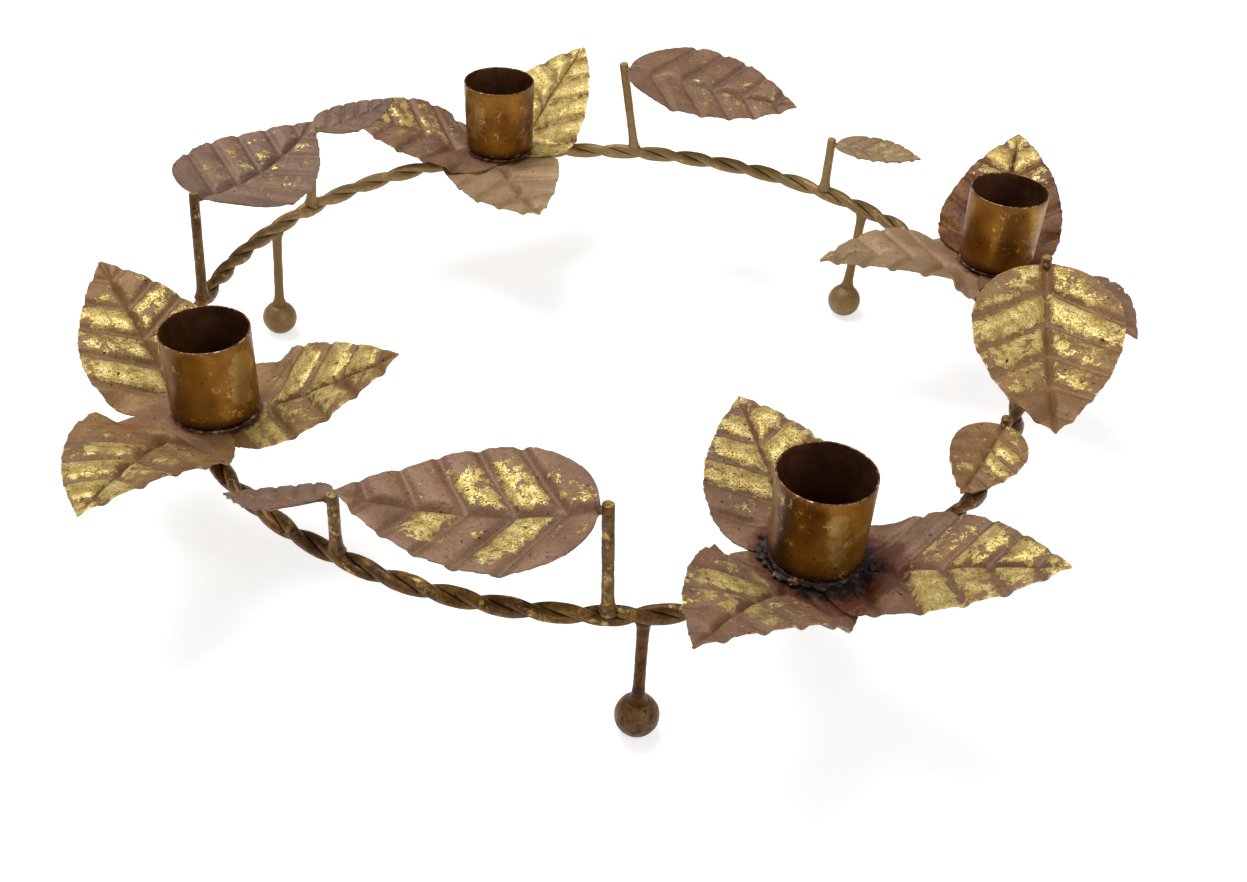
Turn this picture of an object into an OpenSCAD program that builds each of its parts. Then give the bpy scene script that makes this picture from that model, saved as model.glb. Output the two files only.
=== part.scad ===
// Candle ring: two round rods twisted together and bent to a ring, on three ball feet. Four candle
// cups, each on three sheet-metal leaves, sit on it, with four large and four small leaves on stems.
// Millimetres. The origin is on the table, under the middle of the whole piece, with +Z up.

/* [Ring] */
// Diameter of the ring, on the middle line between its two strands
ring_d = 250; // [220:1:320]
// Diameter of each of the two round strands
strand_d = 2.6; // [2:0.1:3.4]
// Full turns of twist, once round the ring
ring_turns = 30; // [24:1:36]
// Height of the ring's middle line over the table
ring_h = 42; // [36:0.5:52]

/* [Feet] */
// Diameter of the foot balls
ball_d = 11.8; // [8:0.1:14]
// Diameter of the rods of the feet
leg_d = 3; // [2:0.1:4]

/* [Candle cups] */
// Inside diameter of a cup, for a 22 mm candle
cup_bore = 23; // [18:0.5:26]
// Thickness of the cup's wall and bottom
cup_wall = 0.5; // [0.4:0.1:1.2]
// Height of a cup
cup_h = 25.9; // [18:0.1:36]
// Radius of the bend between the cup's bottom and its wall, outside
cup_bend = 2.5; // [1.5:0.1:4]

/* [Leaves] */
// Length of a large leaf along its middle rib
large_l = 62; // [56:0.5:66]
// Width of a large leaf
large_w = 41; // [34:0.5:44]
// Length of a small leaf along its middle rib
small_l = 30; // [24:0.5:32]
// Width of a small leaf
small_w = 20; // [14:0.5:22]
// Thickness of the leaf sheet
leaf_t = 0.5; // [0.3:0.05:0.7]
// Upward fold of each half of a leaf from its middle rib, in degrees
leaf_fold = 6; // [0:1:10]
// Length over which a leaf bends up from the flat under its cup
bend_l = 8; // [5:0.5:12]

/* [Leaf stems] */
// Diameter of the stem rods
stem_d = 3; // [2:0.1:4]
// Height of the large leaves' stems over the ring's middle line
large_stem_h = 34.5; // [28:0.5:42]
// Height of the small leaves' stems over the ring's middle line
small_stem_h = 20; // [15:0.5:26]
// Drop from a stem's cut top to the rib of its leaf
stem_tip = 2; // [1:0.1:4]

/* [Hidden] */
$fn = 48;

// Middle of the ring, so that the leaves' whole spread is centred over the origin
ring_x = -6.5;
ring_y = -3;
// Clearance left where a rod's end meets the ball or the ring
seam = 0.05;
// Clearance between the two strands
strand_gap = 0.2;
// Clearance left between a stem's side and the base of its leaf
leaf_gap = 0.2;
// Radius of the round space that the two strands sweep
pair_r = strand_d + strand_gap / 2;
ring_r = ring_d / 2;
cup_r = cup_bore / 2 + cup_wall;

// How far the hand-made twist runs ahead of an even one: angle round the ring, degrees of twist
twist_drift = [[0, -58], [40, -86], [60, -28], [73, -4], [129, 67], [145, 89], [160, 61], [171, 22],
    [220, 18], [232, 9], [246, 33], [269, 6], [360, -58]];

// Feet: angle round the ring, and how far the ball splays out from under it
feet = [[-84.5, -1.5], [153, 3], [44, -3.5]];

// Cups: angle round the ring, and how far the cup stands out from its middle line
cups = [[-62.5, -7], [-153.5, -6.5], [109.5, -2.5], [20, 11.5]];

// Leaves under each cup: heading, rise where it leaves the cup, slope at the tip, roll, twist to
// the tip (degrees), shift of the leaf's base ahead and to the left (mm), place in the stack
cup_leaves = [
    [[104, 9, 6, -3, -6, 0, 1.5, 1], [-123, 34, 5, -7, 24, 1.5, 0, 0], [-24, 28, 19, 0, 8, 1.5, 1, 2]],
    [[127, 22, 18, 3, -8, 4.5, 5.5, 1], [-99, 24, 4, -11, 25, 4, -7, 2], [2, 26, 28, 8, 3, -7.5, 4.5, 0]],
    [[59, 36, 22, -1, 0, -2.5, -1.5, 2], [184, 28, 9, -3, -22, -3.5, 0, 1], [-66, -9, 14, 6, 0, -10, -4, 0]],
    [[74, 38, 17, -4, -9, -2, 0.5, 2], [179, 18, -22, 10, -11, -3, 4, 0], [-61, 23, -10, -10, 9, 2, 1, 1]]
];

// Stems: angle round the ring, lean of the top along the ring and extra height (mm)
large_stems = [[-88.5, -1, 0], [176, -5.5, 0], [86, 5.5, 0], [-8, 0, 7.5]];
small_stems = [[-121, 0.5, 0], [145, -4, 9], [52, -0.5, 1], [-30, 0, -2]];

// Leaves on stems: heading, rise at the stem, slope at the tip, roll, twist to the tip (degrees)
large_leaves = [[176, -15, 13, -4, -4], [66, -18, 17, 6, 12], [-13, -7, -4, 2, 20], [-97, -28, -1, 5, 5]];
small_leaves = [[162, -23, -5, 17, 2], [38, -2, 18, -1, 4], [-19, -1, 2, -5, 10], [-121, -15, 3, 3, -8]];

// Steps of a strand in each full turn, sides of its section, and steps of a leaf along and across
turn_steps = 10;
strand_sides = 8;
leaf_steps = 14;
half_steps = 2;

// The blade's half width follows u^base_round * (1 - u)^tip_taper along the leaf, u from 0 to 1
base_round = 0.5;
tip_taper = 0.95;
widest = base_round / (base_round + tip_taper);
widest_value = pow(widest, base_round) * pow(1 - widest, tip_taper);
// Half width left at the cut base and at the point
base_half = 1.2;
tip_half = 0.3;

up = [0, 0, 1];

function heading(a) = [cos(a), sin(a), 0];
function left_of(a) = [-sin(a), cos(a), 0];
function on_ring(a, out, z) = [ring_x, ring_y, z] + (ring_r + out) * heading(a);

// Share of the bend that lies behind distance s: 0 on the flat, 1 beyond the bend
function bent(s, flat) = max(0, min(1, (s - flat) / bend_l));
// Share of the free blade that lies behind distance s
function outward(s, flat, l) = max(0, min(1, (s - flat - bend_l) / (l - flat - bend_l)));
// Value at s of an angle that starts with the bend and changes evenly to the tip
function eased(s, flat, l, first, last) = bent(s, flat) * (first + (last - first) * outward(s, flat, l));

function half_width(u, w) = w / 2 * pow(u, base_round) * pow(1 - u, tip_taper) / widest_value;
function blade_half(u, w) = max(half_width(u, w), base_half * (1 - u) + tip_half * u);

// Distance ahead and height of the middle rib at each step, summed step by step
function rib(l, flat, rise, tip) = let (ds = l / leaf_steps)
    [for (i = 0, p = [0, 0]; i <= leaf_steps;
        p = p + ds * [cos(eased((i + 0.5) * ds, flat, l, rise, tip)),
                      sin(eased((i + 0.5) * ds, flat, l, rise, tip))],
        i = i + 1) p];

// One closed leaf. pose is [heading, rise, slope at the tip, roll, twist]; flat is the length that
// lies level under the cup, or -bend_l for a leaf that starts at a stem.
module leaf(base, pose, l, w, flat) {
    ribs = rib(l, flat, pose[1], pose[2]);
    across = 2 * half_steps;
    row = across + 1;
    layer = row * (leaf_steps + 1);
    function rib_up(i) = let (s = i * l / leaf_steps, p = eased(s, flat, l, pose[1], pose[2]))
        cos(p) * up - sin(p) * heading(pose[0]);
    function blade_left(i) = let (s = i * l / leaf_steps, r = eased(s, flat, l, pose[3], pose[3] + pose[4]))
        cos(r) * left_of(pose[0]) + sin(r) * rib_up(i);
    function blade_up(i) = let (s = i * l / leaf_steps, r = eased(s, flat, l, pose[3], pose[3] + pose[4]))
        cos(r) * rib_up(i) - sin(r) * left_of(pose[0]);
    function leaf_point(i, j, h) = let (
            u = i / leaf_steps,
            v = (j - half_steps) / half_steps,
            fold = leaf_fold * bent(u * l, flat),
            half = blade_half(u, w))
        base + ribs[i][0] * heading(pose[0]) + ribs[i][1] * up
        + v * half * cos(fold) * blade_left(i)
        + (abs(v) * half * sin(fold) + h) * blade_up(i);
    points = [for (h = [0, leaf_t], i = [0:leaf_steps], j = [0:across]) leaf_point(i, j, h)];
    function at(i, j) = i * row + j;
    under = [for (i = [0:leaf_steps - 1], j = [0:across - 1], t = [0, 1])
        t == 0 ? [at(i, j), at(i, j + 1), at(i + 1, j + 1)] : [at(i, j), at(i + 1, j + 1), at(i + 1, j)]];
    over = [for (f = under) [for (k = [2:-1:0]) f[k] + layer]];
    // The rim, as pairs of neighbouring points once round the sheet
    rim = concat(
        [for (i = [0:leaf_steps - 1]) [at(i, 0), at(i + 1, 0)]],
        [for (j = [0:across - 1]) [at(leaf_steps, j), at(leaf_steps, j + 1)]],
        [for (i = [leaf_steps:-1:1]) [at(i, across), at(i - 1, across)]],
        [for (j = [across:-1:1]) [at(0, j), at(0, j - 1)]]);
    edge = [for (e = rim, t = [0, 1])
        t == 0 ? [e[0], e[1], e[1] + layer] : [e[0], e[1] + layer, e[0] + layer]];
    polyhedron(points, [for (f = concat(under, over, edge)) [f[2], f[1], f[0]]]);
}

// A round rod from one point to another
module rod(from, to, d) {
    run = to - from;
    translate(from)
        rotate([0, acos(run[2] / norm(run)), atan2(run[1], run[0])])
            cylinder(d = d, h = norm(run));
}

// The round space that the two strands sweep, with the seam round it
module pair_space() {
    translate([ring_x, ring_y, ring_h])
        rotate_extrude($fn = 180)
            translate([ring_r, 0])
                circle(r = pair_r + seam);
}

// One strand. Its section turns with the twist, so that a flat of it always faces the other strand.
module ring_strand(k) {
    n = ring_turns * turn_steps;
    reach = (strand_d + strand_gap) / 2;
    points = [for (i = [0:n - 1], j = [0:strand_sides - 1])
        let (a = 360 * i / n, turn = 180 * k + lookup(a, twist_drift) - ring_turns * a,
            side = turn + 360 * (j + 0.5) / strand_sides)
        on_ring(a, reach * cos(turn) + strand_d / 2 * cos(side),
            ring_h + reach * sin(turn) + strand_d / 2 * sin(side))];
    function corner(i, j) = strand_sides * (i % n) + j % strand_sides;
    color("#6b5a3c")
        polyhedron(points, [for (i = [0:n - 1], j = [0:strand_sides - 1], t = [0, 1])
            t == 0 ? [corner(i, j), corner(i + 1, j), corner(i + 1, j + 1)]
                   : [corner(i, j), corner(i + 1, j + 1), corner(i, j + 1)]]);
}

function ball_at(i) = on_ring(feet[i][0], feet[i][1], ball_d / 2);

module leg_rod(i) {
    color("#7a6242")
        difference() {
            rod(ball_at(i), on_ring(feet[i][0], 0, ring_h), leg_d);
            pair_space();
            translate(ball_at(i))
                sphere(d = ball_d + 2 * seam);
        }
}

module foot_ball(i) {
    color("#8a7350")
        translate(ball_at(i))
            sphere(d = ball_d);
}

// Height of the underside of a leaf at a place in its stack of three
function stack_z(place) = ring_h + pair_r + seam + place * leaf_t;
function cup_at(i) = on_ring(cups[i][0], cups[i][1], stack_z(3));

module candle_cup(i) {
    color("#9a6a26")
        translate(cup_at(i))
            rotate_extrude($fn = 96)
                difference() {
                    union() {
                        square([cup_r - cup_bend, cup_h]);
                        translate([0, cup_bend])
                            square([cup_r, cup_h - cup_bend]);
                        translate([cup_r - cup_bend, cup_bend])
                            circle(r = cup_bend);
                    }
                    union() {
                        translate([0, cup_wall])
                            square([cup_r - cup_bend, cup_h]);
                        translate([0, cup_bend])
                            square([cup_bore / 2, cup_h]);
                        translate([cup_r - cup_bend, cup_bend])
                            circle(r = cup_bend - cup_wall);
                    }
                }
}

module cup_leaf(i, k) {
    p = cup_leaves[i][k];
    base = cup_at(i) + p[5] * heading(p[0]) + p[6] * left_of(p[0]);
    color("#a8884a")
        leaf([base[0], base[1], stack_z(p[7])], p, large_l, large_w, cup_r - p[5]);
}

function stem_foot(s) = on_ring(s[0], 0, ring_h);
function stem_top(s, h) = on_ring(s[0], 0, ring_h + h + s[2]) + s[1] * left_of(s[0]);
// Point on a stem's middle line beside the base of its leaf
function leaf_seat(s, h) = let (run = stem_top(s, h) - stem_foot(s))
    stem_top(s, h) - stem_tip * run / norm(run);

module leaf_stem(s, h) {
    color("#7a6242")
        difference() {
            rod(stem_foot(s), stem_top(s, h), stem_d);
            pair_space();
        }
}

module stem_leaf(s, h, pose, l, w) {
    base = leaf_seat(s, h) + (stem_d / 2 + leaf_gap) * heading(pose[0]);
    color("#96794e")
        leaf(base, pose, l, w, -bend_l);
}

for (i = [0:1]) ring_strand(i);
for (i = [0:2]) leg_rod(i);
for (i = [0:2]) foot_ball(i);
for (i = [0:3]) candle_cup(i);
for (i = [0:3], k = [0:2]) cup_leaf(i, k);
for (i = [0:3]) leaf_stem(large_stems[i], large_stem_h);
for (i = [0:3]) stem_leaf(large_stems[i], large_stem_h, large_leaves[i], large_l, large_w);
for (i = [0:3]) leaf_stem(small_stems[i], small_stem_h);
for (i = [0:3]) stem_leaf(small_stems[i], small_stem_h, small_leaves[i], small_l, small_w);
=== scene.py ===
import math
import bmesh
import bpy
from mathutils import Matrix, Vector, noise


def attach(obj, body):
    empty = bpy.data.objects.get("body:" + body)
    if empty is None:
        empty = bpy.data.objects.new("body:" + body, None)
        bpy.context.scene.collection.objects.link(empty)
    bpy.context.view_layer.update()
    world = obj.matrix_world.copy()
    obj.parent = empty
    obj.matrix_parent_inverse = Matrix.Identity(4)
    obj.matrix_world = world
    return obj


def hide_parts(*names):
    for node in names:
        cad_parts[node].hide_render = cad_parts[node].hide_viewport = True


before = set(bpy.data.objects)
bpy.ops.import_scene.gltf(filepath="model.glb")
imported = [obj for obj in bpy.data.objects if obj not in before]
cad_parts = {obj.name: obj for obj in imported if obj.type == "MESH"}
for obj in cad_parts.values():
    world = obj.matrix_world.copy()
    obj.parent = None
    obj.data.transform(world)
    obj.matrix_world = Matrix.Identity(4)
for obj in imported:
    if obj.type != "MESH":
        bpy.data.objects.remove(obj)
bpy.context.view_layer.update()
scene = bpy.context.scene
scene.view_settings.view_transform = "Standard"

# Sizes in millimetres, as in the part's source, with the strands, legs and stems a hair thicker
MM = 0.001
UP = Vector((0, 0, 1))
RING_MIDDLE = Vector((-6.5, -3, 42))
RING_R = 125
RING_TURNS = 30
STRAND_R = 1.33
PAIR_R = 2.7
SEAM = 0.05
BALL_R = 5.9
LEG_R = 1.55
CUP_R = 12
CUP_WALL = 0.5
CUP_H = 25.9
CUP_BEND = 2.5
LEAF_T = 0.5
LEAF_FOLD = 6
BEND_L = 8
LARGE_L, LARGE_W = 62, 41
SMALL_L, SMALL_W = 30, 20
STEM_R = 1.55
STEM_TIP = 2
LEAF_GAP = 0.2
LARGE_STEM_H = 34.5
SMALL_STEM_H = 20
# Leaf outline: powers of its round base and tapering tip, and the least half widths at both ends
BASE_ROUND, TIP_TAPER = 0.5, 0.95
BASE_HALF, TIP_HALF = 1.2, 0.3

# How far the hand-made twist runs ahead of an even one: angle round the ring, degrees of twist
TWIST_DRIFT = [(0, -58), (40, -86), (60, -28), (73, -4), (129, 67), (145, 89), (160, 61), (171, 22),
               (220, 18), (232, 9), (246, 33), (269, 6), (360, -58)]
# Feet: angle round the ring, how far the ball splays out
FEET = [(-84.5, -1.5), (153, 3), (44, -3.5)]
# Cups: angle round the ring, how far the cup stands out from the ring
CUPS = [(-62.5, -7), (-153.5, -6.5), (109.5, -2.5), (20, 11.5)]
# Cup leaves: heading, rise, slope at the tip, roll, twist, shift ahead, shift left, place in the stack
CUP_LEAVES = [
    [(104, 9, 6, -3, -6, 0, 1.5, 1), (-123, 34, 5, -7, 24, 1.5, 0, 0), (-24, 28, 19, 0, 8, 1.5, 1, 2)],
    [(127, 22, 18, 3, -8, 4.5, 5.5, 1), (-99, 24, 4, -11, 25, 4, -7, 2), (2, 26, 28, 8, 3, -7.5, 4.5, 0)],
    [(59, 36, 22, -1, 0, -2.5, -1.5, 2), (184, 28, 9, -3, -22, -3.5, 0, 1), (-66, -9, 14, 6, 0, -10, -4, 0)],
    [(74, 38, 17, -4, -9, -2, 0.5, 2), (179, 18, -22, 10, -11, -3, 4, 0), (-61, 23, -10, -10, 9, 2, 1, 1)],
]
# Stems: angle round the ring, lean along the ring, extra height
LARGE_STEMS = [(-88.5, -1, 0), (176, -5.5, 0), (86, 5.5, 0), (-8, 0, 7.5)]
SMALL_STEMS = [(-121, 0.5, 0), (145, -4, 9), (52, -0.5, 1), (-30, 0, -2)]
# Leaves on stems: heading, rise, slope at the tip, roll, twist
LARGE_LEAVES = [(176, -15, 13, -4, -4), (66, -18, 17, 6, 12), (-13, -7, -4, 2, 20), (-97, -28, -1, 5, 5)]
SMALL_LEAVES = [(162, -23, -5, 17, 2), (38, -2, 18, -1, 4), (-19, -1, 2, -5, 10), (-121, -15, 3, 3, -8)]


# Camera, solved from the ring, the cup rims and the foot balls
EYE = Vector((-6.5, -388.5, 289.7))
YAW, LOOK_DOWN, CAMERA_ROLL = 1.1, 36.86, 2.79
FOCAL_PX, PHOTO_W_PX = 1491, 1247
SENSOR_W = 36


def stand_camera():
    """The photograph's viewpoint."""
    yaw, down, roll = (math.radians(angle) for angle in (YAW, LOOK_DOWN, CAMERA_ROLL))
    look = Vector((math.sin(yaw) * math.cos(down), math.cos(yaw) * math.cos(down), -math.sin(down)))
    level = Vector((math.cos(yaw), -math.sin(yaw), 0))
    over = level.cross(look)
    right = math.cos(roll) * level + math.sin(roll) * over
    over = -math.sin(roll) * level + math.cos(roll) * over
    data = bpy.data.cameras.new("view")
    data.sensor_fit = "HORIZONTAL"
    data.sensor_width = SENSOR_W
    data.lens = SENSOR_W * FOCAL_PX / PHOTO_W_PX
    data.clip_start, data.clip_end = 0.01, 20
    view = bpy.data.objects.new("view", data)
    scene.collection.objects.link(view)
    turn = Matrix((right, over, -look)).transposed().to_4x4()
    view.matrix_world = Matrix.Translation(EYE * MM) @ turn
    scene.camera = view


stand_camera()


# Tools for the finishes
def adder(tree):
    """Two functions for a tree: one adds a node with its inputs, the other joins or sets one input."""
    def put(value, socket):
        if isinstance(value, bpy.types.NodeSocket):
            tree.links.new(value, socket)
        else:
            socket.default_value = value

    def add(kind, inputs=(), **settings):
        node = tree.nodes.new(kind)
        for key, value in settings.items():
            setattr(node, key, value)
        for socket, value in dict(inputs).items():
            put(value, node.inputs[socket])
        return node

    return add, put


def finish(name):
    """A new material, a function that adds a node to it, and one that gives its shader a value."""
    mat = bpy.data.materials.new(name)
    mat.use_nodes = True
    shader = mat.node_tree.nodes["Principled BSDF"]
    add, put = adder(mat.node_tree)

    def coat(value, socket):
        put(value, shader.inputs[socket])

    return mat, add, coat


def colour(r, g, b):
    """An sRGB colour, 0 to 255, as the linear colour that a shader takes."""
    def linear(c):
        c = c / 255
        return c / 12.92 if c <= 0.04045 else ((c + 0.055) / 1.055) ** 2.4
    return (linear(r), linear(g), linear(b), 1)


def tones(*colours):
    """Several colours, each given as red, green and blue."""
    return tuple(colour(*rgb) for rgb in colours)


def grain(add, scale, detail, rough, shift=0):
    """Noise on the piece's own coordinates, as a value; scale in marks per metre."""
    place = add("ShaderNodeTexCoord").outputs["Object"]
    if shift:
        moved = {"Vector": place, "Location": (shift, shift, shift)}
        place = add("ShaderNodeMapping", moved).outputs["Vector"]
    marks = {"Vector": place, "Scale": scale, "Detail": detail, "Roughness": rough}
    return add("ShaderNodeTexNoise", marks).outputs[0]


def bands(add, value, places, colours):
    """A ramp from value to colour, with each colour at its place from 0 to 1."""
    ramp = add("ShaderNodeValToRGB", {"Fac": value})
    while len(ramp.color_ramp.elements) < len(places):
        ramp.color_ramp.elements.new(0.5)
    for element, place, tint in zip(ramp.color_ramp.elements, places, colours):
        element.position = place
        element.color = tint
    return ramp.outputs["Color"]


def span(add, value, low, high, to_low=0, to_high=1):
    """A value eased from the range low to high into another range, and held at its ends."""
    limits = dict(enumerate((value, low, high, to_low, to_high)))
    return add("ShaderNodeMapRange", limits, interpolation_type="SMOOTHSTEP").outputs[0]


def sums(add, operation, a, b):
    """One sum on two values."""
    return add("ShaderNodeMath", {0: a, 1: b}, operation=operation).outputs[0]


def layered(add, base, *layers):
    """A base colour under further colours, each with the share that it covers."""
    for share, tint in layers:
        base = add("ShaderNodeMix", {0: share, 6: base, 7: tint}, data_type="RGBA").outputs[2]
    return base


def own(add, name):
    """A value that the mesh carries at its points."""
    return add("ShaderNodeAttribute", {}, attribute_name=name).outputs["Fac"]


def ragged(add, name, marks, weight):
    """A value that the mesh carries, broken up by noise."""
    return sums(add, "ADD", own(add, name), sums(add, "MULTIPLY", marks, weight))


def relief(add, coat, height, strength, distance):
    """Fine bumps over a finish, from a value for their height, with a distance in metres."""
    bump = add("ShaderNodeBump", {"Height": height, "Strength": strength, "Distance": distance})
    coat(bump.outputs[0], "Normal")


# Finishes
LEAF_GOLD = tones((148, 114, 56), (200, 170, 92), (238, 218, 142))
WARM_PATCH, GREEN_PATCH = tones((152, 98, 52), (122, 108, 84))
# Painted shade laid into the pressed veins, and the leaves' dark specks
VEIN_SHADE, LEAF_SPECK = tones((84, 58, 42), (52, 36, 26))
RUST, SCORCHED = tones((102, 52, 28), (28, 21, 18))
RUBBED_GOLD, FAR_KHAKI, JOINT_SOOT = tones((196, 160, 92), (176, 146, 96), (40, 24, 14))
LACQUER = tones((94, 54, 14), (134, 86, 22), (154, 108, 36), (160, 124, 60))
# Darker lacquer for the foot and for painted shade, a pale painted highlight, and gold flecks
LACQUER_DARK_AND_SHADE, LACQUER_HIGHLIGHT, LACQUER_FLECK = tones((56, 28, 8), (178, 148, 88), (204, 166, 88))
LACQUER_LIP, LACQUER_SPECK = tones((120, 78, 34), (60, 36, 18))
INSIDE = tones((66, 36, 14), (104, 62, 28))
CHIPPED = tones((96, 62, 34), (150, 112, 68), (226, 200, 160))
FLUX = tones((34, 20, 13), (84, 46, 26), (120, 84, 58), (196, 174, 154))


def leaf_finish(name, patina, shift):
    """Brown patina with rubbed gold leaf on the panels, dark specks, painted shade in the pressed veins, and
    rust and black scorch by the cups.
    """
    mat, add, coat = finish(name)
    dark, mid, light = patina
    blotches = bands(add, grain(add, 90, 6, 0.62, shift), (0.3, 0.5, 0.72), (dark, mid, light))
    flakes = ragged(add, "gilt", grain(add, 260, 12, 0.8, 3 + shift), 2.8)
    pits = span(add, grain(add, 2100, 5, 0.75, 5), 0.4, 0.47)
    gold = sums(add, "MULTIPLY", span(add, flakes, 1.84, 1.9), pits)
    gold_tone = bands(add, grain(add, 330, 7, 0.75, 7), (0.32, 0.46, 0.62), LEAF_GOLD)
    grime = ragged(add, "soot_and_shade", grain(add, 330, 10, 0.8, 11), 1.5)
    coat(layered(
        add, blotches,
        (span(add, grain(add, 55, 5, 0.6, 21 + shift), 0.52, 0.68, 0, 0.4), WARM_PATCH),
        (span(add, grain(add, 75, 5, 0.6, 31 + shift), 0.54, 0.7, 0, 0.35), GREEN_PATCH),
        (span(add, grain(add, 900, 3, 0.6), 0.54, 0.7), dark),
        (span(add, grain(add, 1900, 4, 0.7, 41), 0.44, 0.64, 0, 0.55), dark),
        (span(add, grain(add, 1700, 4, 0.7, 43), 0.52, 0.7, 0, 0.45), light),
        # Painted shade in the pressed veins, deepest where the vein is deepest
        (sums(add, "MULTIPLY", own(add, "vein"), 0.22), VEIN_SHADE),
        (gold, gold_tone),
        (span(add, grime, 0.98, 1.2, 0, 0.9), RUST),
        (span(add, grime, 1.42, 1.56), SCORCHED),
        (span(add, grain(add, 700, 2, 0.5, 17), 0.68, 0.72), LEAF_SPECK)), "Base Color")
    coat(span(add, gold, 0, 1, 0.22, 0.45), "Metallic")
    coat(span(add, gold, 0, 1, 0.55, 0.4), "Roughness")
    height = sums(add, "ADD", grain(add, 600, 5, 0.65), sums(add, "MULTIPLY", gold, 0.4))
    relief(add, coat, height, 0.6, 0.0003)
    return mat


def bar_finish(name, patina, shift, gold_from, shine=0.3):
    """Brown patina in dark and light blotches, golden where it is rubbed, and sooty at the joints."""
    mat, add, coat = finish(name)
    dark, mid, light = patina
    blotches = bands(add, grain(add, 160, 6, 0.65, shift), (0.32, 0.5, 0.68), (dark, mid, light))
    rubbed = ragged(add, "rubbed", grain(add, 420, 9, 0.78, 5 + shift), 1.3)
    gold = span(add, rubbed, gold_from, gold_from + 0.16)
    coat(layered(
        add, blotches,
        (span(add, grain(add, 480, 6, 0.75, 3), 0.53, 0.62), dark),
        (span(add, grain(add, 1500, 4, 0.7, 43), 0.52, 0.68, 0, 0.5), light),
        (gold, RUBBED_GOLD),
        (own(add, "pale"), FAR_KHAKI),
        (span(add, own(add, "soot_and_shade"), 0.1, 0.8), JOINT_SOOT)), "Base Color")
    coat(span(add, gold, 0, 1, 0.3, 0.5), "Metallic")
    coat(shine, "Specular IOR Level")
    coat(span(add, grain(add, 500, 3, 0.6, 9), 0.35, 0.65, 0.36, 0.56), "Roughness")
    relief(add, coat, grain(add, 700, 4, 0.6, 1), 0.45, 0.0003)
    return mat


def cup_finish(name):
    """Amber and dark brown heat-toned lacquer on sheet brass, with a pale painted highlight in one upright
    band, painted shade in another, and flecks.
    """
    mat, add, coat = finish(name)
    amber = bands(add, grain(add, 60, 4, 0.55, 2), (0.3, 0.46, 0.6, 0.75), LACQUER)
    painted_highlight = ragged(add, "painted_highlight", grain(add, 200, 12, 0.8, 14), 2.4)
    flecks = sums(add, "MULTIPLY", span(add, grain(add, 240, 10, 0.82, 4), 0.57, 0.61),
                  span(add, grain(add, 1500, 4, 0.7, 9), 0.4, 0.48))
    coat(layered(
        add, amber,
        # Darker towards the foot, and painted shade in one upright band
        (span(add, own(add, "soot_and_shade"), 0, 1), LACQUER_DARK_AND_SHADE),
        # Painted highlight: a pale upright band at one heading, broken up by noise
        (span(add, painted_highlight, 1.66, 1.86, 0, 0.55), LACQUER_HIGHLIGHT),
        (flecks, LACQUER_FLECK),
        (span(add, own(add, "lip"), 0, 1), LACQUER_LIP),
        (span(add, grain(add, 800, 2, 0.5, 17), 0.7, 0.74), LACQUER_SPECK)), "Base Color")
    coat(0.6, "Metallic")
    coat(0.2, "Specular IOR Level")
    coat(span(add, grain(add, 220, 4, 0.6, 6), 0.35, 0.65, 0.28, 0.46), "Roughness")
    relief(add, coat, grain(add, 260, 4, 0.6, 1), 0.25, 0.0003)
    return mat


def cup_inside_finish(name):
    """Dull lacquer inside the cups, darker than outside."""
    mat, add, coat = finish(name)
    coat(bands(add, grain(add, 120, 5, 0.6, 2), (0.35, 0.65), INSIDE), "Base Color")
    coat(0.4, "Metallic")
    coat(span(add, grain(add, 300, 4, 0.6, 6), 0.35, 0.65, 0.45, 0.65), "Roughness")
    return mat


def rim_finish(name):
    """Lacquer chipped to bright metal along the cups' rims."""
    mat, add, coat = finish(name)
    coat(bands(add, grain(add, 500, 4, 0.7, 2), (0.45, 0.55, 0.66), CHIPPED), "Base Color")
    coat(0.8, "Metallic")
    coat(0.35, "Roughness")
    return mat


def flux_finish(name, share_dark):
    """Burnt brazing flux: black crust with rust red and pale glassy flecks."""
    mat, add, coat = finish(name)
    places = [share_dark + step for step in (0, 0.06, 0.12, 0.18)]
    coat(bands(add, grain(add, 420, 8, 0.75, 2), places, FLUX), "Base Color")
    coat(0.2, "Metallic")
    coat(span(add, grain(add, 700, 3, 0.6, 6), 0.35, 0.65, 0.3, 0.6), "Roughness")
    relief(add, coat, grain(add, 900, 4, 0.7, 1), 0.8, 0.0004)
    return mat


mauve_leaf = leaf_finish("mauve_leaf_patina", tones((106, 74, 52), (138, 102, 76), (158, 122, 88)), 0)
gilded_leaf = leaf_finish("gilded_leaf_patina", tones((112, 78, 46), (144, 106, 64), (170, 134, 80)), 2)
plum_leaf = leaf_finish("plum_leaf_patina", tones((104, 78, 66), (132, 102, 82), (150, 120, 90)), 4)
toasted_leaf = leaf_finish("toasted_leaf_patina", tones((76, 42, 30), (116, 70, 38), (172, 118, 48)), 6)
pale_leaf = leaf_finish("pale_leaf_patina", tones((138, 106, 76), (166, 134, 96), (188, 158, 114)), 8)
ring_patina = bar_finish("ring_strand_patina", tones((54, 32, 10), (100, 68, 26), (146, 106, 48)), 0, 0.96)
rod_brown = bar_finish("rod_patina", tones((66, 42, 18), (106, 74, 34), (138, 102, 50)), 2, 0.86)
leg_brown = bar_finish("leg_patina", tones((50, 27, 8), (84, 50, 16), (116, 78, 32)), 6, 0.95, 0.12)
ball_khaki = bar_finish("ball_patina", tones((66, 42, 18), (102, 70, 32), (134, 98, 52)), 4, 0.98)
cup_lacquer = cup_finish("cup_lacquer")
cup_inside = cup_inside_finish("cup_inside_darker")
cup_rim = rim_finish("cup_chipped_rim")
black_flux = flux_finish("black_flux", 0.51)
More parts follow.
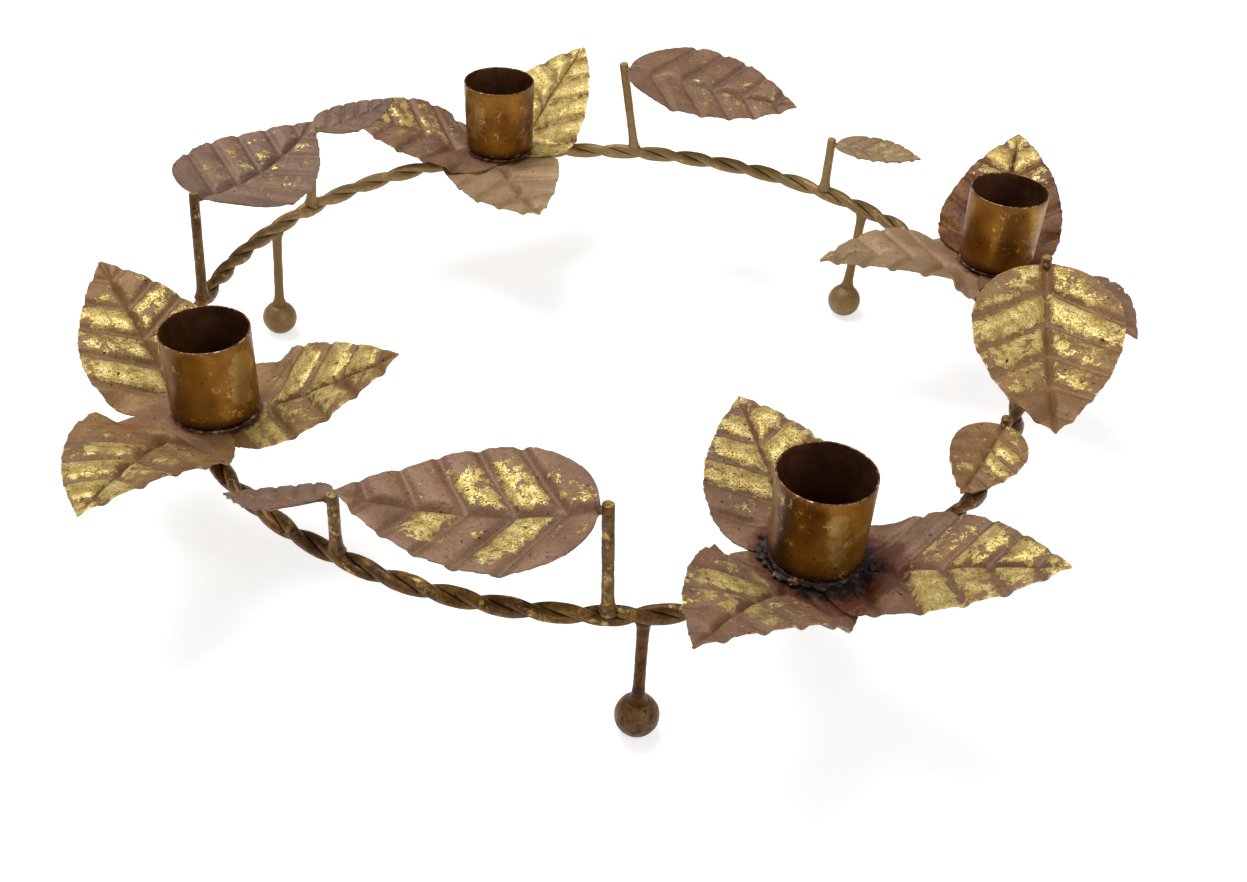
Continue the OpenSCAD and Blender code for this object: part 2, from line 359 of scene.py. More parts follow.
brown_braze = flux_finish("brown_braze", 0.44)


# Tools for the shapes
# Angles in degrees above which an edge is shown sharp
LEAF_SHARP, ROD_SHARP, CUP_SHARP, ROUND_SHARP = 40, 30, 50, 60


def heading(angle):
    """The level direction at an angle in degrees, counted from +X towards +Y."""
    return Vector((math.cos(math.radians(angle)), math.sin(math.radians(angle)), 0))


def left_of(angle):
    """The level direction to the left of a heading."""
    return Vector((-math.sin(math.radians(angle)), math.cos(math.radians(angle)), 0))


def on_ring(angle, out, z):
    """A place on the ring's middle line, or out from it, at a height z."""
    return Vector((RING_MIDDLE.x, RING_MIDDLE.y, z)) + (RING_R + out) * heading(angle)


def smooth(low, high, x):
    """A soft step from 0 at low to 1 at high."""
    t = min(1, max(0, (x - low) / (high - low)))
    return t * t * (3 - 2 * t)


def lumps(point, size, seed=0):
    """Noise from -1 to 1 at a point in millimetres, with lumps of about that size."""
    return noise.noise(point / size + Vector((seed, seed * 1.7, seed * 0.6)))


def mark(bm, name, value):
    """Writes a value at every point, from its place in millimetres."""
    layer = bm.verts.layers.float.get(name) or bm.verts.layers.float.new(name)
    for v in bm.verts:
        v[layer] = value(v.co / MM)


def paler_far_side(bm):
    """The patina of the rods, the balls and the ring is paler on the side of the ring that lies away."""
    mark(bm, "pale", lambda p: 0.55 * smooth(0, 85, p.y) * (1 - 0.5 * smooth(60, 110, p.x)))


def piece(name, bm, nodes, materials, sharp):
    """Turns a finished shape into a scene piece that stands for its CAD nodes."""
    mesh = bpy.data.meshes.new(name)
    bm.to_mesh(mesh)
    bm.free()
    mesh.shade_smooth()
    mesh.set_sharp_from_angle(angle=math.radians(sharp))
    for mat in materials:
        mesh.materials.append(mat)
    obj = bpy.data.objects.new(name, mesh)
    scene.collection.objects.link(obj)
    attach(obj, "root")
    if nodes:
        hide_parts(*nodes)


def full_turn(bm, geom, steps):
    """Spins a line or a ring of points once about the upright axis."""
    bmesh.ops.spin(bm, geom=geom, cent=(0, 0, 0), axis=(0, 0, 1), dvec=(0, 0, 0),
                   angle=2 * math.pi, steps=steps, use_merge=True, use_duplicate=False)


def spun(profile, steps):
    """A turned shape about the upright axis, from radius and height points in millimetres."""
    bm = bmesh.new()
    row = [bm.verts.new((r * MM, 0, z * MM)) for r, z in profile]
    line = [bm.edges.new(pair) for pair in zip(row, row[1:])]
    full_turn(bm, row + line, steps)
    bmesh.ops.remove_doubles(bm, verts=bm.verts, dist=1e-6)
    bmesh.ops.recalc_face_normals(bm, faces=bm.faces)
    return bm


def arc(cx, cz, r, start, end, steps):
    """Points of an arc in a profile, from one angle to another."""
    angles = [math.radians(start + (end - start) * k / steps) for k in range(steps + 1)]
    return [(cx + r * math.cos(a), cz + r * math.sin(a)) for a in angles]


def stand(bm, foot, top=None):
    """Moves a turned shape so that its axis runs from foot towards top."""
    if top is not None:
        bm.transform((top - foot).normalized().to_track_quat("Z", "Y").to_matrix().to_4x4())
    bm.transform(Matrix.Translation(foot * MM))


# Leaves
VEINS = 5
# Places of the side veins along the rib, as shares of the leaf's length, and how far they slant
FIRST_VEIN, VEIN_PITCH, VEIN_SLOPE = 0.13, 0.185, 0.62
# Half the width of a vein, and the spacing of the teeth, on a large leaf
VEIN_HALF, TOOTH_PITCH = 2.1, 3.3
# How far the panels are puffed up, the veins are pressed down and the sheet waves, on a large leaf
PUFF, GROOVE, WAVE = 0.55, 1.15, 0.8
# Squares of a leaf's grid along and across it
LARGE_GRID, SMALL_GRID = (200, 44), (120, 28)


def bent(s, flat):
    """How much of its bend a leaf has taken up at a distance along its rib, 0 to 1."""
    return min(1, max(0, (s - flat) / BEND_L))


def eased(s, flat, length, first, last):
    """An angle that is first just past the bend and last at the tip."""
    beyond = min(1, max(0, (s - flat - BEND_L) / (length - flat - BEND_L)))
    return bent(s, flat) * (first + (last - first) * beyond)


def half_width(u, width):
    """Half the width of a leaf at a share u of its length."""
    widest = BASE_ROUND / (BASE_ROUND + TIP_TAPER)
    peak = widest ** BASE_ROUND * (1 - widest) ** TIP_TAPER
    blade = width / 2 * max(0, u) ** BASE_ROUND * max(0, 1 - u) ** TIP_TAPER / peak
    return max(blade, BASE_HALF * (1 - u) + TIP_HALF * u)


def toothed_half(s, side, length, width, seed):
    """Half the width of a leaf with torn teeth, which grow from side 0, the rib, to 1 and -1, the edges."""
    scale, u = length / LARGE_L, s / length
    step = (s / (TOOTH_PITCH * scale) + 0.8 * lumps(Vector((s, 3 * side, 0)), 9, seed)) % 1
    tooth = step * (1 - smooth(0.8, 1, step)) * (0.55 + 0.45 * lumps(Vector((s, 9 * side, 0)), 5, seed + 3))
    torn = 0.55 * tooth - 0.25 + 0.45 * lumps(Vector((s, 5 * side, 0)), 7, seed + 6)
    torn *= smooth(0.02, 0.1, u) * (1 - smooth(0.93, 0.99, u))
    return half_width(u, width) + scale * torn * abs(side) ** 5


def vein_phase(s, t, length):
    """Which panel between side veins a spot lies in, counted from the base, with its share."""
    return (s / length - FIRST_VEIN - VEIN_SLOPE * abs(t) / length) / VEIN_PITCH


def vein_depth(s, t, length):
    """How far a spot lies in a pressed vein, 0 to 1."""
    scale, u = length / LARGE_L, s / length
    middle = 1 - smooth(0, VEIN_HALF * scale, abs(t) / (1.2 - 0.7 * u))
    phase = vein_phase(s, t, length)
    nearest = min(VEINS - 1, max(0, round(phase)))
    away = abs(phase - nearest) * VEIN_PITCH * length / math.hypot(1, VEIN_SLOPE)
    side = (1 - smooth(0, VEIN_HALF * scale, away)) * (1 - 0.35 * u)
    return max(middle * (1 - smooth(0.86, 1, u)), side)


def pressed_height(s, t, side, length, depth, seed):
    """How high the stamping stands at a spot: puffed panels, sunk veins and a slow wave."""
    scale = length / LARGE_L
    puff = math.sin(math.pi * (vein_phase(s, t, length) % 1)) ** 2
    puff *= (1 - abs(side) ** 4) * smooth(0, 2.5 * scale, abs(t))
    wave = lumps(Vector((s, t, 0)), 14 * scale, seed) * (0.35 + 0.5 * side * side)
    return scale * (PUFF * puff - GROOVE * depth + WAVE * wave)


def gold_share(s, t, side, length, depth, gilt, reach):
    """How much gold leaf is left at a spot: by its panel, less in the veins and towards the edge."""
    panel = min(VEINS, max(0, math.floor(vein_phase(s, t, length)) + 1))
    share = gilt[0 if side >= 0 else 1][panel]
    edge = smooth(0.6, 0.97, abs(side))
    return share * (1 - 0.8 * depth) * (1 - reach * edge) + 0.15 * smooth(0.95, 1, abs(side))


def rib_line(steps, flat, length, rise, slope):
    """Points of a leaf's rib, as distance out and height."""
    ds = length / steps
    points = [Vector((0, 0))]
    for i in range(steps):
        pitch = math.radians(eased((i + 0.5) * ds, flat, length, rise, slope))
        points.append(points[-1] + ds * Vector((math.cos(pitch), math.sin(pitch))))
    return points


def veined_leaf(node, coat, base, pose, size, flat, gilt, reach, seed, burn=None):
    """One pressed sheet-metal leaf: a grid bent along its rib, veined, toothed and given its thickness."""
    length, width = size
    turn, rise, slope, roll, twist = pose[:5]
    along, across = LARGE_GRID if length == LARGE_L else SMALL_GRID
    rib = rib_line(along, flat, length, rise, slope)
    ahead, left = heading(turn), left_of(turn)
    bm = bmesh.new()
    bmesh.ops.create_grid(bm, x_segments=along, y_segments=across, size=1)
    vein, gold, soot_and_shade = (bm.verts.layers.float.new(name) for name in ("vein", "gilt", "soot_and_shade"))
    for v in bm.verts:
        i = round((v.co.x + 1) / 2 * along)
        side = v.co.y
        s = i * length / along
        t = side * toothed_half(s, side, length, width, seed)
        press = smooth(flat - 2, flat + 4, s)
        depth = vein_depth(s, t, length) * press
        lift = LEAF_T + press * pressed_height(s, t, side, length, depth, seed)
        pitch = math.radians(eased(s, flat, length, rise, slope))
        bank = math.radians(eased(s, flat, length, roll, roll + twist))
        fold = math.radians(LEAF_FOLD) * bent(s, flat)
        rib_up = math.cos(pitch) * UP - math.sin(pitch) * ahead
        blade_left = math.cos(bank) * left + math.sin(bank) * rib_up
        blade_up = math.cos(bank) * rib_up - math.sin(bank) * left
        spot = base + rib[i].x * ahead + rib[i].y * UP
        spot += t * math.cos(fold) * blade_left + (abs(t) * math.sin(fold) + lift) * blade_up
        v.co = spot * MM
        v[vein] = depth
        v[gold] = gold_share(s, t, side, length, depth, gilt, reach)
        v[soot_and_shade] = burn(spot) if burn else 0
    bmesh.ops.recalc_face_normals(bm, faces=bm.faces)
    if sum(f.normal.z for f in bm.faces) < 0:
        bmesh.ops.reverse_faces(bm, faces=bm.faces)
    bmesh.ops.solidify(bm, geom=bm.faces[:], thickness=LEAF_T * MM)
    piece(f"veined_{node}", bm, [node], [coat], LEAF_SHARP)


def cup_at(i):
    """The middle of a cup's underside, on top of its three leaves."""
    return on_ring(CUPS[i][0], CUPS[i][1], RING_MIDDLE.z + PAIR_R + SEAM + 3 * LEAF_T)


# Front cup, whose foot is burnt, and the way in which its scorch has spilt
BURNT_CUP = 0
SPILL_HEADING = -48
# How far the scorch reaches from a cup and how strong it is: the front cup's, then the others'
BURNT_SCORCH, LIGHT_SCORCH = (8, 0.85), (2.5, 0.4)


def scorch(i):
    """Soot and rust round a cup's foot, spilt furthest to the front right on the front cup."""
    middle = cup_at(i)
    reach, strength = BURNT_SCORCH if i == BURNT_CUP else LIGHT_SCORCH
    spill_way = heading(SPILL_HEADING)

    def at(spot):
        out = spot - middle
        out.z = 0
        spill = 1 + (1.9 * max(0, out.normalized().dot(spill_way)) ** 1.5 if i == BURNT_CUP else 0)
        return strength * (1 - smooth(0, reach * spill, out.length - CUP_R))
    return at


# Share of worn gold leaf on each panel from the base to the tip, left half then right half
CUP_GILT = [
    [((0, .3, .75, .8, .75, .6), (0, .35, .6, .75, .8, .6)),
     ((0, .3, .4, .45, .3, .2), (.2, .4, .65, .5, .2, .1)),
     ((0, .15, .45, .6, .75, .65), (0, .05, 1, .6, .55, .6))],
    [((0, .8, .55, .8, .35, .1), (0, .3, .55, .5, .3, .1)),
     ((.1, .3, .4, .5, .7, .8), (.1, .3, .6, .7, .75, .8)),
     ((0, .3, .65, .85, .8, .3), (0, .8, .4, .6, .4, .2))],
    [((.9, 1.1, 1.2, 1.2, 1.1, .9), (.9, 1.1, 1.2, 1.2, 1.1, .9)),
     ((.1, .2, .25, .3, .35, .3), (.1, .3, .45, .55, .65, .5)),
     ((.1, .1, .1, .1, .1, .1), (0, .1, .1, .1, .1, .1))],
    [((0, .1, .1, .5, .85, .8), (0, .1, .1, .5, .85, .8)),
     ((.1, .1, .15, .2, .2, .2), (.1, .1, .15, .2, .2, .2)),
     ((.1, .2, .2, .2, .2, .1), (.1, .2, .2, .2, .2, .1))],
]
LARGE_GILT = [((.3, .72, .32, .65, .1, 0), (.35, .6, .55, .25, .05, 0)),
              ((.2, .3, .35, .35, .2, .2), (.2, .3, .4, .35, .3, .2)),
              ((.2, .25, .3, .3, .35, .3), (.2, .25, .3, .35, .35, .3)),
              ((.5, .85, .5, .5, .15, 0), (.5, .9, .65, .45, .1, 0))]
SMALL_GILT = [((.1, .1, .1, .1, 0, 0), (0, .1, .1, .1, 0, 0)),
              ((0, .1, .1, .1, 0, 0), (0, .1, .1, .1, 0, 0)),
              ((.1, .35, .4, .4, .3, .1), (.1, .35, .4, .4, .3, .1)),
              ((.4, .75, .7, .35, .1, 0), (.1, .3, .3, .5, .3, .1))]
# How much of the gold is lost at a leaf's edge
CUP_EDGE_LOSS = 0.35
STEM_EDGE_LOSS = [0.75, 0.75, 0.75, 0.35]
CUP_LEAF_FINISH = [(mauve_leaf, mauve_leaf, mauve_leaf), (gilded_leaf, gilded_leaf, gilded_leaf),
                   (gilded_leaf, mauve_leaf, pale_leaf), (toasted_leaf, pale_leaf, mauve_leaf)]
LARGE_FINISH = (mauve_leaf, plum_leaf, mauve_leaf, gilded_leaf)
SMALL_FINISH = (plum_leaf, plum_leaf, pale_leaf, gilded_leaf)
# Where the leaves' noise starts, so that no two are alike
CUP_SEED, LARGE_SEED, SMALL_SEED = 1, 20, 24


def make_cup_leaves(i):
    """The stack of three leaves under a cup."""
    for k, pose in enumerate(CUP_LEAVES[i]):
        turn, ahead, left, place = pose[0], *pose[5:]
        base = cup_at(i) + ahead * heading(turn) + left * left_of(turn)
        base.z = RING_MIDDLE.z + PAIR_R + SEAM + place * LEAF_T
        veined_leaf(f"cup_leaf_{i + 1}_{k + 1}", CUP_LEAF_FINISH[i][k], base, pose,
                    (LARGE_L, LARGE_W), CUP_R - ahead, CUP_GILT[i][k], CUP_EDGE_LOSS,
                    CUP_SEED + 3 * i + k, scorch(i))


def stem_line(stem, height):
    """The foot and the top of a stem."""
    angle, lean, extra = stem
    foot = on_ring(angle, 0, RING_MIDDLE.z)
    return foot, foot + (height + extra) * UP + lean * left_of(angle)


def make_stem_leaf(kind, i, size, line, pose, coat, gilt, seed):
    """A leaf that starts at the side of its stem, just below the stem's top."""
    foot, top = line
    seat = top - STEM_TIP * (top - foot).normalized()
    base = seat + (STEM_R + LEAF_GAP) * heading(pose[0])
    veined_leaf(f"{kind}_leaf_{i + 1}", coat, base, pose, size, -BEND_L, gilt,
                STEM_EDGE_LOSS[i], seed + i)


def make_leaves():
    """At each cup its three leaves, then a large and a small leaf on their stems."""
    for i in range(4):
        make_cup_leaves(i)
        make_stem_leaf("large", i, (LARGE_L, LARGE_W), stem_line(LARGE_STEMS[i], LARGE_STEM_H),
                       LARGE_LEAVES[i], LARGE_FINISH[i], LARGE_GILT[i], LARGE_SEED)
        make_stem_leaf("small", i, (SMALL_L, SMALL_W), stem_line(SMALL_STEMS[i], SMALL_STEM_H),
                       SMALL_LEAVES[i], SMALL_FINISH[i], SMALL_GILT[i], SMALL_SEED)


# Ring
# How much each strand is widened, and deepened towards its twin, where the two are pressed together
STRAND_WIDE, STRAND_DEEP = 1.28, 1.06
STRAND_SIDES, STEPS_PER_TURN = 20, 30


def twist_at(angle):
    """How far the pair of strands has turned at an angle round the ring, in degrees."""
    angle %= 360
    for (a, first), (b, second) in zip(TWIST_DRIFT, TWIST_DRIFT[1:]):
        if a <= angle <= b:
            return first + (second - first) * (angle - a) / (b - a) - RING_TURNS * angle


def make_strands():
    """Two round rods: a small circle spun round the ring, each section then moved round its twin."""
    for k in range(2):
        bm = bmesh.new()
        bmesh.ops.create_circle(bm, cap_ends=False, segments=STRAND_SIDES, radius=STRAND_R)
        for v in bm.verts:
            v.co = Vector((RING_R + v.co.x, 0, v.co.y))
        full_turn(bm, bm.verts[:] + bm.edges[:], RING_TURNS * STEPS_PER_TURN)
        bmesh.ops.recalc_face_normals(bm, faces=bm.faces)
        rubbed, soot_and_shade = (bm.verts.layers.float.new(name) for name in ("rubbed", "soot_and_shade"))
        for v in bm.verts:
            a = math.degrees(math.atan2(v.co.y, v.co.x))
            x, z = v.co.to_2d().length - RING_R, v.co.z
            turn = math.radians(twist_at(a) + 180 * k)
            away = (x * math.cos(turn) + z * math.sin(turn)) / STRAND_R
            wide = (z * math.cos(turn) - x * math.sin(turn)) / STRAND_R
            # Towards the twin, the section is squared off
            squared = 1 - 0.45 * smooth(0.1, -0.9, away)
            wide = math.copysign(abs(wide) ** squared, wide) * STRAND_WIDE
            deep = away if away > 0 else away * STRAND_DEEP
            x = STRAND_R * (deep * math.cos(turn) - wide * math.sin(turn))
            z = STRAND_R * (deep * math.sin(turn) + wide * math.cos(turn))
            spot = RING_MIDDLE + (RING_R + STRAND_R * math.cos(turn)) * heading(a)
            spot += STRAND_R * math.sin(turn) * UP
            girth = 1 + 0.05 * lumps(spot, 5, k) + 0.035 * lumps(spot + Vector((x, z, x - z)), 1.6, k + 4)
            spot += girth * (x * heading(a) + z * UP)
            v.co = spot * MM
            v[rubbed] = 0.28 * smooth(-0.2, 0.9, away) + 0.12 * lumps(spot, 9, 7)
            v[soot_and_shade] = 0.7 * (1 - smooth(-0.98, -0.6, away))
        paler_far_side(bm)
        node = f"ring_strand_{k + 1}"
        piece(f"hammered_strand_{k + 1}", bm, [node], [ring_patina], ROUND_SHARP)


# Rods, feet and stems
ROD_ROWS, ROD_SIDES = 56, 28
# Bevel of a rod's cut top, and how much thinner a neck of braze is inside its joint
ROD_BEVEL, NECK_STEP = 0.2, 0.2
# How fast a neck thins along its rod, and how far from the ring's middle line it is widest
NECK_RUN, NECK_DEEP = 1.6, 1.5
# Necks: how far they stand out, and how far from the rod's end they are widest
RING_NECK, LEG_TOP_NECK = (1.2, NECK_DEEP), (1.1, NECK_DEEP)
BALL_NECK, NO_NECK = (1.2, BALL_R - 0.4), (0, 1)


def neck(size, depth, z):
    """How far a neck of braze stands out from its rod, at a distance z from the rod's end."""
    if size == 0:
        return 0
    if z > depth:
        return size * math.exp(-(z - depth) / NECK_RUN)
    return size * (1 - ((depth - z) / depth) ** 2) - NECK_STEP


def leaf_drop(bm, seat):
    """A drop of solder that holds a leaf to its stem."""
    for v in bmesh.ops.create_icosphere(bm, subdivisions=3, radius=1)["verts"]:
        spot = v.co.copy()
        spot = spot * (1 + 0.25 * lumps(spot, 0.9, 8))
        v.co = (seat + Vector((1.25 * spot.x, 1.25 * spot.y, 0.85 * spot.z))) * MM


def brazed_rod(name, node, coat, foot, top, radius, foot_neck, top_neck, leaf_turn=None):
    """A slightly uneven rod with necks of braze, and a drop of solder where it carries a leaf."""
    run, axis = (top - foot).length, (top - foot).normalized()
    rows = [run * k / ROD_ROWS for k in range(ROD_ROWS)]
    profile = [(0, 0)] + [(radius + neck(*foot_neck, z) + neck(*top_neck, run - z), z) for z in rows]
    profile += [(radius + neck(*top_neck, ROD_BEVEL), run - ROD_BEVEL)]
    profile += [(radius + neck(*top_neck, 0) - ROD_BEVEL, run), (0, run)]
    bm = spun(profile, ROD_SIDES)
    stand(bm, foot, top)
    for v in bm.verts:
        spot = v.co / MM
        out = spot - foot - (spot - foot).dot(axis) * axis
        if out.length > 0.1:
            dent = 0.07 * lumps(spot, 1.8, 3) + 0.08 * lumps(spot, 6, 5)
            v.co = (spot + out.normalized() * dent) * MM
    if leaf_turn is not None:
        leaf_drop(bm, top - STEM_TIP * axis + 1.5 * heading(leaf_turn))
    mark(bm, "rubbed",
         lambda p: 0.12 + 0.25 * lumps(p, 8, 2) + 0.2 * smooth(run - 0.3, run, (p - foot).dot(axis)))
    mark(bm, "soot_and_shade", lambda p: 0.4 * math.exp(-abs((p - foot).dot(axis) - foot_neck[1]) / 1.2))
    paler_far_side(bm)
    piece(name, bm, [node], [coat], ROD_SHARP)


BALL_ROWS, BALL_SIDES = 28, 48
# How strongly each ball is stained, and the way in which its stained side faces
BALL_STAINS = [0.85, 0.25, 0.25]
STAINED_SIDE = heading(-50) - UP


def make_ball(i, middle):
    """A slightly dented ball that keeps its true height where it stands."""
    bm = spun(arc(0, 0, BALL_R, -90, 90, BALL_ROWS), BALL_SIDES)
    for v in bm.verts:
        spot = v.co / MM
        v.co *= 1 + (0.014 * lumps(spot, 2.8, i) - 0.012) * smooth(-5.8, -4.6, spot.z)

    def stains(p):
        return BALL_STAINS[i] * smooth(0.2, 0.5, lumps(p, 1.3, i + 5) + 0.3 * STAINED_SIDE.dot(p) / BALL_R)
    mark(bm, "rubbed", lambda p: 0)
    mark(bm, "soot_and_shade", stains)
    stand(bm, middle)
    paler_far_side(bm)
    piece(f"dented_foot_ball_{i + 1}", bm, [f"foot_ball_{i + 1}"], [ball_khaki], ROUND_SHARP)


def make_feet():
    """The three balls and the legs that rise from them to the ring."""
    for i, (angle, out) in enumerate(FEET):
        ball = on_ring(angle, out, BALL_R)
        make_ball(i, ball)
        brazed_rod(f"brazed_leg_{i + 1}", f"leg_rod_{i + 1}", leg_brown, ball,
                   on_ring(angle, 0, RING_MIDDLE.z), LEG_R, BALL_NECK, LEG_TOP_NECK)


def make_stems():
    """The four large and four small stems that stand on the ring."""
    for kind, stems, height, leaves in (("large", LARGE_STEMS, LARGE_STEM_H, LARGE_LEAVES),
                                        ("small", SMALL_STEMS, SMALL_STEM_H, SMALL_LEAVES)):
        for i in range(4):
            foot, top = stem_line(stems[i], height)
            brazed_rod(f"brazed_{kind}_stem_{i + 1}", f"{kind}_leaf_stem_{i + 1}", rod_brown,
                       foot, top, STEM_R, RING_NECK, NO_NECK, leaves[i][0])


# Cups
CUP_SIDES, WALL_ROWS, BEND_STEPS, RIM_STEPS = 96, 12, 8, 6
# Places of the cup's finishes in its list
LACQUERED, DARK_INSIDE, BARE_RIM = range(3)
# How far each cup opens out at its rim, in millimetres
CUP_FLARE = [0.6, 0.15, 0.45, 0.4]
# Height of the band below the rim where the lacquer is browner
LIP_H = 4
# Painted light on each cup: heading of its pale painted highlight, how strong, heading of its painted shade,
# how strong
CUP_PAINTED_LIGHT = [(-76, 0.72, -146, 0.75), (-32, 0.85, -125, 0.5), (-130, 0.75, -15, 0.6), (-54, 0.65, -90, 0.5)]
# How widely the painted highlight and the painted shade spread round the cup
HIGHLIGHT_SPREAD, SHADE_SPREAD = 0.1, 0.07


def cup_profile():
    """The section of a cup: out along its floor, up, over the round rim and down inside."""
    inner, rim = CUP_R - CUP_WALL, CUP_WALL / 2
    corner = CUP_R - CUP_BEND
    row = (CUP_H - CUP_BEND - rim) / WALL_ROWS
    rows = range(1, WALL_ROWS + 1)
    profile = [(0, 0), (corner, 0)]
    profile += arc(corner, CUP_BEND, CUP_BEND, -90, 0, BEND_STEPS)[1:]
    profile += [(CUP_R, CUP_BEND + row * k) for k in rows]
    profile += arc(CUP_R - rim, CUP_H - rim, rim, 0, 180, RIM_STEPS)[1:]
    profile += [(inner, CUP_H - rim - row * k) for k in rows]
    profile += arc(corner, CUP_BEND, CUP_BEND - CUP_WALL, 0, -90, BEND_STEPS)[1:]
    return profile + [(0, CUP_WALL)]


def cup_face(face):
    """Which of the cup's finishes a face has."""
    middle, inner = face.calc_center_median() / MM, CUP_R - CUP_WALL
    r = middle.to_2d().length
    if middle.z > CUP_H - CUP_WALL / 2:
        return BARE_RIM
    faces_in = face.normal.dot(Vector((middle.x, middle.y, 0))) <= 0
    on_inside = r > inner - 0.1 or face.normal.z > 0.01
    if r < inner + 0.01 and middle.z > CUP_WALL - 0.01 and faces_in and on_inside:
        return DARK_INSIDE
    return LACQUERED


def facing(p, turn, spread):
    """How nearly a spot on a cup's wall faces a heading, from 1 down towards 0."""
    out = Vector((p.x, p.y, 0))
    if out.length <= CUP_R / 2:
        return 0
    return math.exp((out.normalized().dot(heading(turn)) - 1) / spread)


def make_cup(i):
    """A thin sheet cup, a little out of round and flared, with its darker foot, browner lip, painted
    highlight and painted shade marked on it.
    """
    bm = spun(cup_profile(), CUP_SIDES)
    for f in bm.faces:
        f.material_index = cup_face(f)
    for v in bm.verts:
        spot = v.co / MM
        flare = 0.14 * lumps(Vector((spot.x, spot.y, 0)), 7, i) + CUP_FLARE[i]
        grow = 1 + flare * smooth(2, CUP_H, spot.z) / CUP_R
        v.co.x *= grow
        v.co.y *= grow
    pale, highlight_strength, dark, shade_strength = CUP_PAINTED_LIGHT[i]

    def below_lip(p):
        return 1 - smooth(CUP_H - LIP_H, CUP_H, p.z)

    # Darker towards the foot, and painted shade in an upright band at one heading
    mark(bm, "soot_and_shade",
         lambda p: max(0.9 * (1 - smooth(0.5, 6, p.z)), shade_strength * facing(p, dark, SHADE_SPREAD)))
    # Painted highlight: a pale upright band at one heading, fading out near the foot and under the lip
    mark(bm, "painted_highlight", lambda p: highlight_strength * facing(p, pale, HIGHLIGHT_SPREAD) * smooth(3, 9, p.z) * below_lip(p))
    mark(bm, "lip", lambda p: 0.6 * (1 - below_lip(p)))
    stand(bm, cup_at(i))
    finishes = [cup_lacquer, cup_inside, cup_rim]
    piece(f"lacquered_cup_{i + 1}", bm, [f"candle_cup_{i + 1}"], finishes, CUP_SHARP)


# Beads of braze round the cups' feet: radius and height of the circle that they follow
BEAD_R, BEAD_H = CUP_R - CUP_BEND + 1.8, 0.1
# Radius of a bead's section on the front cup, and on the others
BURNT_BEAD, PLAIN_BEAD = 1.0, 0.45
BEAD_SIDES, BEAD_STEPS = 160, 16
# Crumbs of burnt flux round the front cup: their number, and the arc in degrees on which they lie
CRUMBS, CRUMBS_FROM, CRUMBS_SWEEP = 60, 150, 200
# Steps that scatter the crumbs' places and sizes
TURN_STEP, OUT_STEP, SIZE_STEP = 0.618, 0.381, 0.271


def flux_crumbs(bm):
    """Crumbs of flux strewn round the front of a cup's foot, most of them small and close to it."""
    for n in range(CRUMBS):
        turn = CRUMBS_FROM + CRUMBS_SWEEP * ((n * TURN_STEP) % 1) + 12 * lumps(Vector((n, 0, 0)), 1.3)
        out = CUP_R - 0.4 + 3.6 * ((n * OUT_STEP) % 1) ** 2.2
        size = 0.25 + 0.9 * ((n * SIZE_STEP) % 1) ** 3
        for v in bmesh.ops.create_icosphere(bm, subdivisions=2, radius=size * MM)["verts"]:
            spot = v.co / MM
            spot *= 1 + 0.8 * lumps(spot, 0.8, n)
            v.co = (Vector((1.5 * spot.x, 1.2 * spot.y, 0.5 * spot.z + 0.1)) + out * heading(turn)) * MM


def make_bead(i):
    """A bead of braze round a cup's foot, thick and burnt on the front cup."""
    burnt = i == BURNT_CUP
    thick = BURNT_BEAD if burnt else PLAIN_BEAD
    bm = spun(arc(BEAD_R, BEAD_H, thick, -60, 300, BEAD_STEPS), BEAD_SIDES)
    for v in bm.verts:
        spot = v.co / MM
        if burnt:
            grow = 1 + 0.6 * lumps(spot, 2.6, i) + 0.3 * lumps(spot, 1.1, i) + 0.8 * lumps(spot, 9, 2)
        else:
            grow = 1 + 0.2 * lumps(spot, 1.7, i)
        core = Vector((spot.x, spot.y, 0)).normalized() * BEAD_R
        v.co = (core + (spot - core) * grow) * MM
    if burnt:
        flux_crumbs(bm)
    stand(bm, cup_at(i))
    coat = black_flux if burnt else brown_braze
    piece(f"braze_bead_{i + 1}", bm, [], [coat], ROUND_SHARP)


def make_cups():
    """The four cups, each with its bead of braze."""
    for i in range(4):
        make_cup(i)
        make_bead(i)


# Floor, surroundings and lamps, in metres and watts
FLOOR_HALF = 4
FLOOR_GREY, FLOOR_ROUGH = 0.8, 0.9
WHITE = (1, 1, 1, 1)
# Glow that the camera and reflections see in the floor, and the light that the surroundings give
FLOOR_GLOW, SKY_LIGHT = 0.62, 0.32


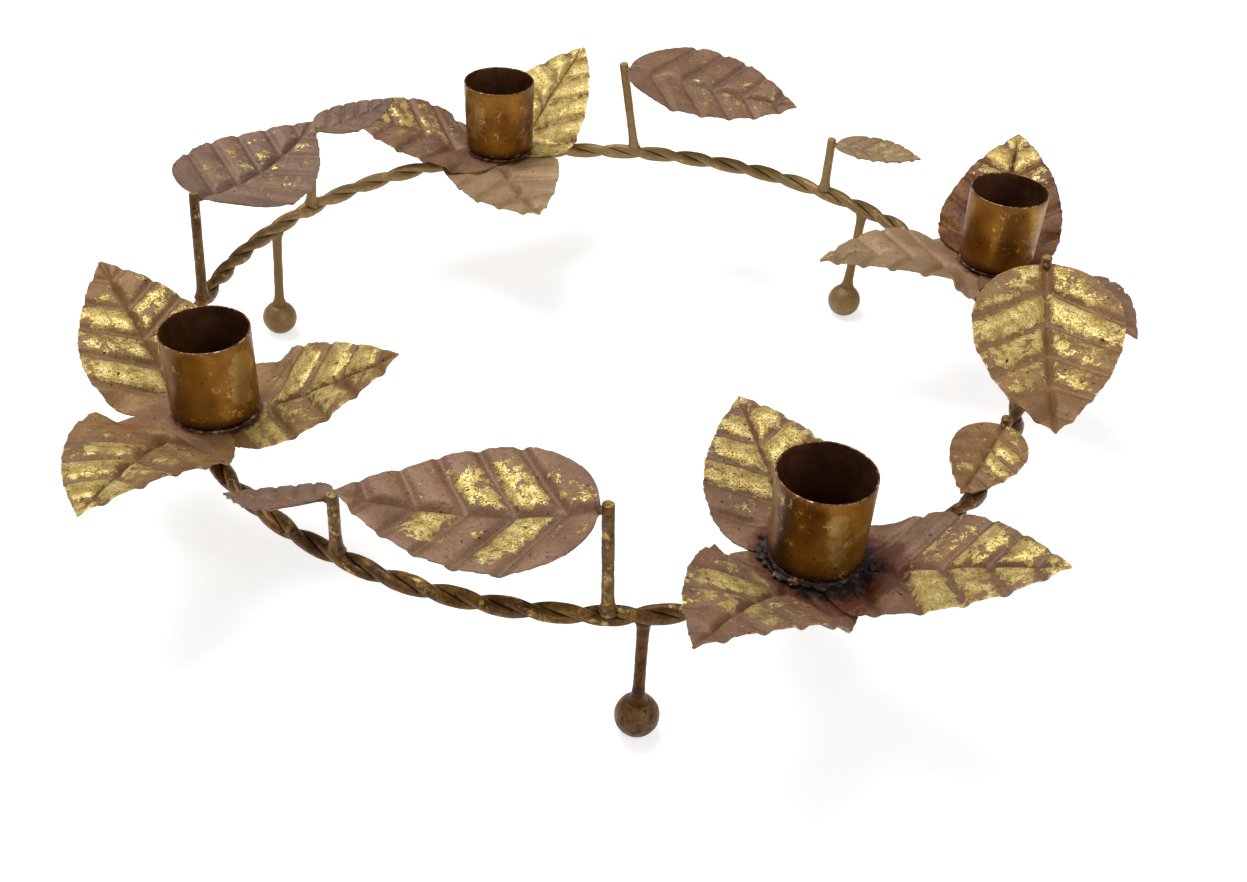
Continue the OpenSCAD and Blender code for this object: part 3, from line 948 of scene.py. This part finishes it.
def make_floor():
    """A pale floor that looks white to the camera and still keeps the shadow."""
    mat, add, coat = finish("white_floor")
    coat((FLOOR_GREY, FLOOR_GREY, FLOOR_GREY, 1), "Base Color")
    coat(FLOOR_ROUGH, "Roughness")
    coat(WHITE, "Emission Color")
    rays = add("ShaderNodeLightPath")
    seen = sums(add, "MAXIMUM", rays.outputs["Is Camera Ray"], rays.outputs["Is Glossy Ray"])
    coat(sums(add, "MULTIPLY", seen, FLOOR_GLOW), "Emission Strength")
    bm = bmesh.new()
    bmesh.ops.create_grid(bm, x_segments=1, y_segments=1, size=FLOOR_HALF)
    mesh = bpy.data.meshes.new("floor")
    bm.to_mesh(mesh)
    bm.free()
    mesh.materials.append(mat)
    floor = bpy.data.objects.new("floor", mesh)
    scene.collection.objects.link(floor)


def make_surroundings():
    """Even white surroundings, at full strength where the camera looks straight at them."""
    world = bpy.data.worlds.new("studio")
    world.use_nodes = True
    sky = world.node_tree.nodes["Background"]
    add, put = adder(world.node_tree)
    seen = add("ShaderNodeLightPath").outputs["Is Camera Ray"]
    level = add("ShaderNodeMapRange", {0: seen, 3: SKY_LIGHT, 4: 1}).outputs[0]
    put(WHITE, sky.inputs["Color"])
    put(level, sky.inputs["Strength"])
    scene.world = world


def soft_lamp(name, place, target, size, power):
    """A rectangular softbox that faces its target."""
    data = bpy.data.lights.new(name, "AREA")
    data.shape = "RECTANGLE"
    data.size, data.size_y = size
    data.energy = power
    lamp = bpy.data.objects.new(name, data)
    scene.collection.objects.link(lamp)
    place, target = Vector(place), Vector(target)
    turn = (place - target).to_track_quat("Z", "Y").to_matrix().to_4x4()
    lamp.matrix_world = Matrix.Translation(place) @ turn


make_strands()
make_feet()
make_stems()
make_cups()
make_leaves()
make_floor()
make_surroundings()
soft_lamp("top_softbox", place=(-0.3, 0.2, 1.1), target=(0, 0, 0), size=(0.6, 0.6), power=9)
soft_lamp("window_right", place=(0.6, -0.8, 0.55), target=(0, 0, 0.05), size=(0.25, 0.7), power=3.2)
soft_lamp("fill_left", place=(-0.9, -0.5, 0.7), target=(0, 0, 0.05), size=(1.0, 0.8), power=0.5)
